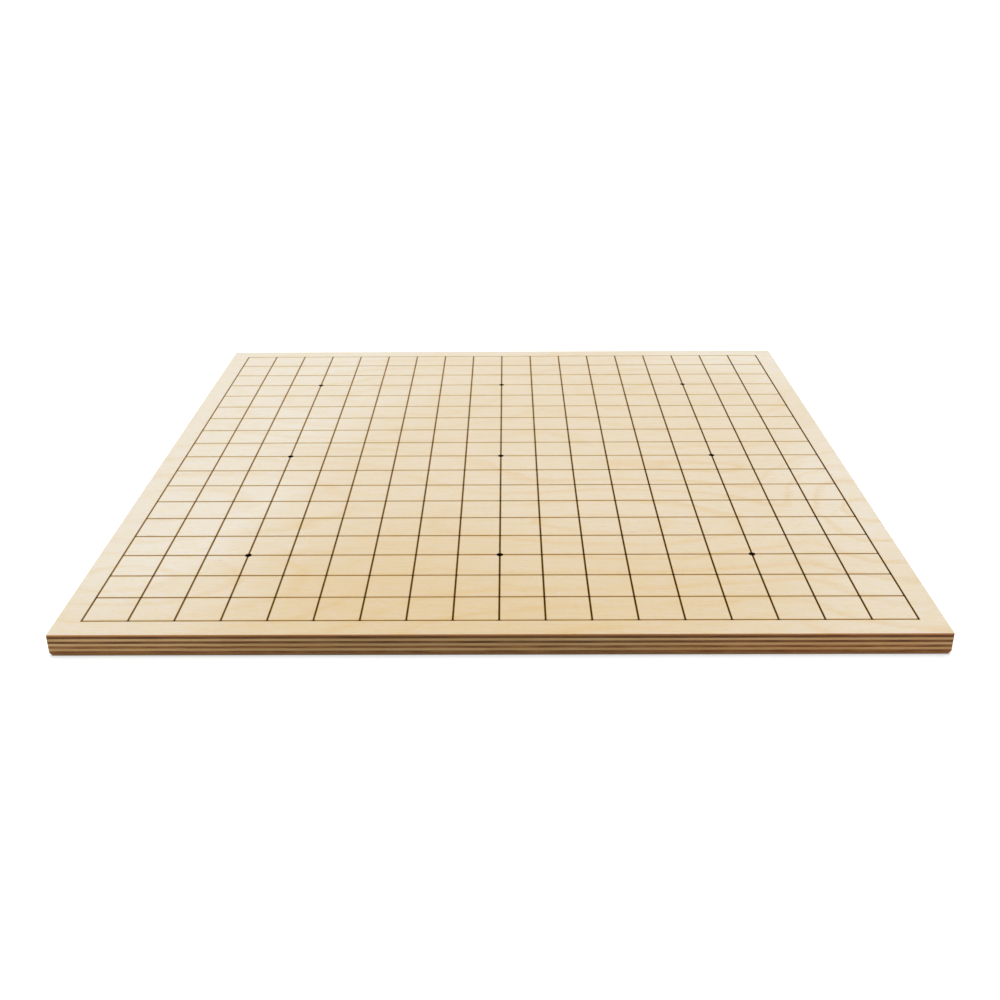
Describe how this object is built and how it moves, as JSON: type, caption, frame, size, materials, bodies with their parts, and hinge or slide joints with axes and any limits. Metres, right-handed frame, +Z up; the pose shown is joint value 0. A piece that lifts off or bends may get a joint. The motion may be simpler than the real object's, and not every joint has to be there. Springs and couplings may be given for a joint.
{
  "type": "go board",
  "caption": "Flat square plywood game board with a grid of burnt lines and star points on its face, laid on a table to play go.",
  "frame": {"origin": "centre of the underside, on the surface that the board lies on", "axes": "+Z up through the playing face, +X to the right along the face grain, +Y away from the player at the front"},
  "size_m": [0.45, 0.45, 0.012],
  "materials": {
    "face_birch": "sanded, bare",
    "long_birch": "sawn and sanded long grain",
    "cross_birch": "sawn and sanded end grain",
    "back_birch": "sanded, bare",
    "glue": "cured resin film",
    "scorched_wood": "burnt brown, matt",
    "charred_wood": "burnt black, matt"
  },
  "bodies": {
    "root": {"face_veneer": "face_birch", "core_ply_2": "cross_birch", "core_ply_3": "long_birch", "core_ply_4": "cross_birch", "core_ply_5": "long_birch", "core_ply_6": "cross_birch", "core_ply_7": "long_birch", "core_ply_8": "cross_birch", "back_veneer": "back_birch", "glue_film_1": "glue", "glue_film_2": "glue", "glue_film_3": "glue", "glue_film_4": "glue", "glue_film_5": "glue", "glue_film_6": "glue", "glue_film_7": "glue", "glue_film_8": "glue", "burnt_grid": "scorched_wood", "burnt_star_points": "charred_wood"}
  },
  "joints": []
}
